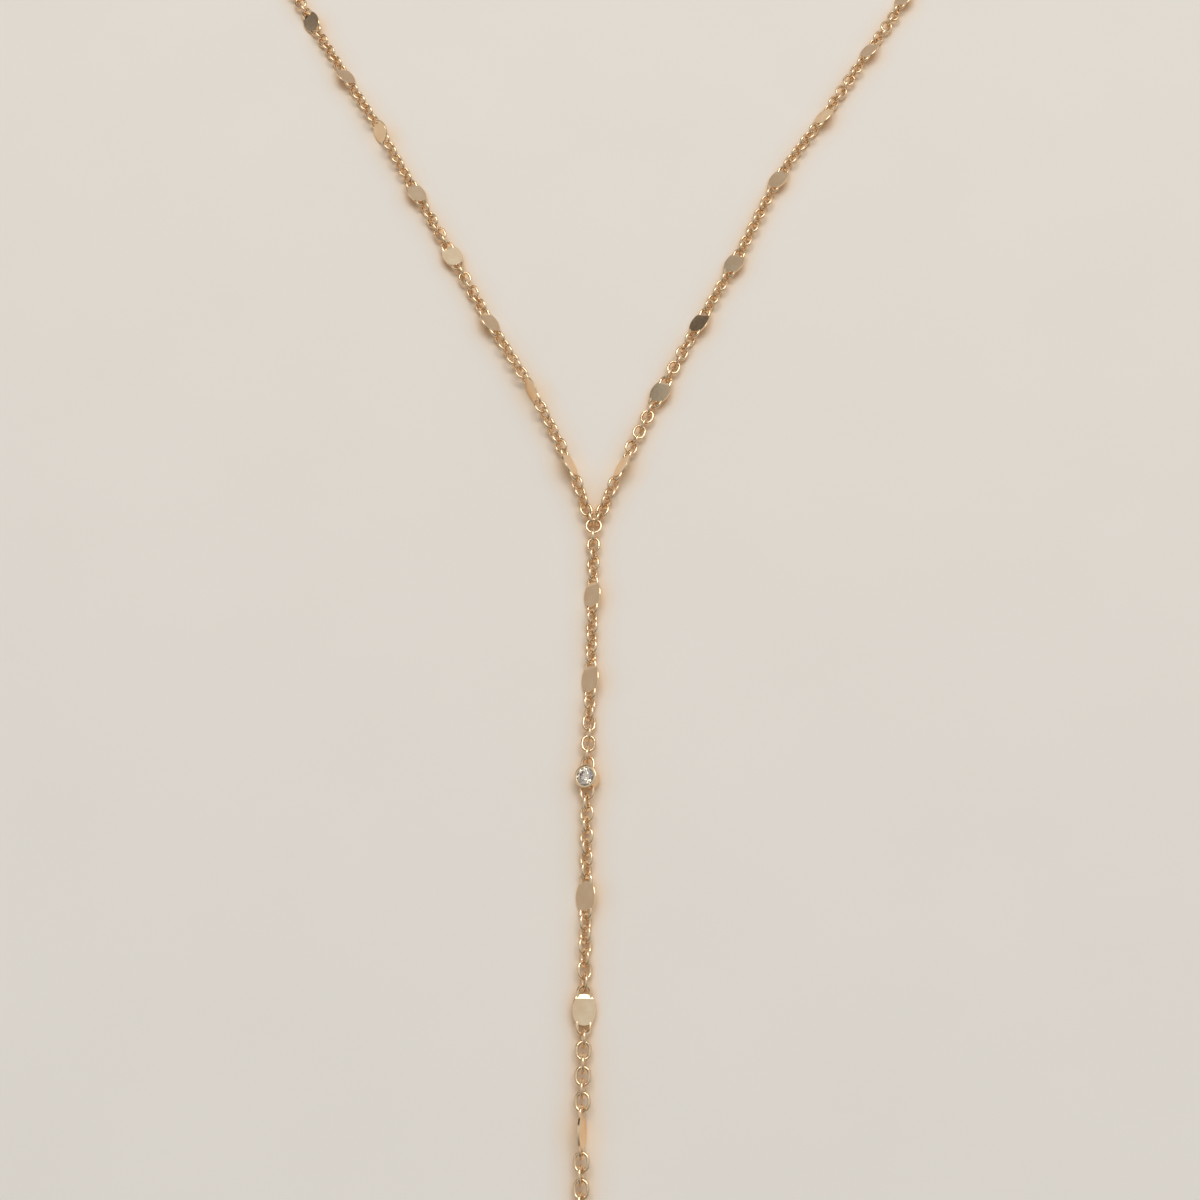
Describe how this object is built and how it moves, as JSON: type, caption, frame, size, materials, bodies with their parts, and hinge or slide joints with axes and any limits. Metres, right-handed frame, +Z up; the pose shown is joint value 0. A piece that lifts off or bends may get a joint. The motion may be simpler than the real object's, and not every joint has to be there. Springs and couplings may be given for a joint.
{
  "type": "y necklace",
  "caption": "Fine cable chain worn round the neck, with pressed oval discs along it and a drop in front that carries a small bezel-set stone.",
  "frame": {"origin": "middle of the outline, on the surface that the necklace lies on", "axes": "+X to the picture's right across the loop, +Y from the end of the drop to the clasp, +Z up from the surface"},
  "size_m": [0.1047, 0.2257, 0.0027],
  "materials": {
    "gold": "polished warm yellow gold",
    "diamond": "clear cut stone"
  },
  "bodies": {
    "root": {"junction_ring": "gold", "left_chain": "gold", "right_chain": "gold", "drop_chain": "gold", "stone_setting": "gold", "left_back_chain": "gold", "right_back_chain": "gold", "clasp": "gold", "clasp_ring": "gold", "left_disc_1": "gold", "left_disc_2": "gold", "left_disc_3": "gold", "left_disc_4": "gold", "left_disc_5": "gold", "left_disc_6": "gold", "left_disc_7": "gold", "left_disc_8": "gold", "left_disc_9": "gold", "left_disc_10": "gold", "left_disc_11": "gold", "left_disc_12": "gold", "left_disc_13": "gold", "right_disc_1": "gold", "right_disc_2": "gold", "right_disc_3": "gold", "right_disc_4": "gold", "right_disc_5": "gold", "right_disc_6": "gold", "right_disc_7": "gold", "right_disc_8": "gold", "right_disc_9": "gold", "right_disc_10": "gold", "right_disc_11": "gold", "right_disc_12": "gold", "right_disc_13": "gold", "drop_disc_1": "gold", "drop_disc_2": "gold", "drop_disc_3": "gold", "drop_disc_4": "gold", "drop_disc_5": "gold", "diamond": "diamond"}
  },
  "joints": []
}
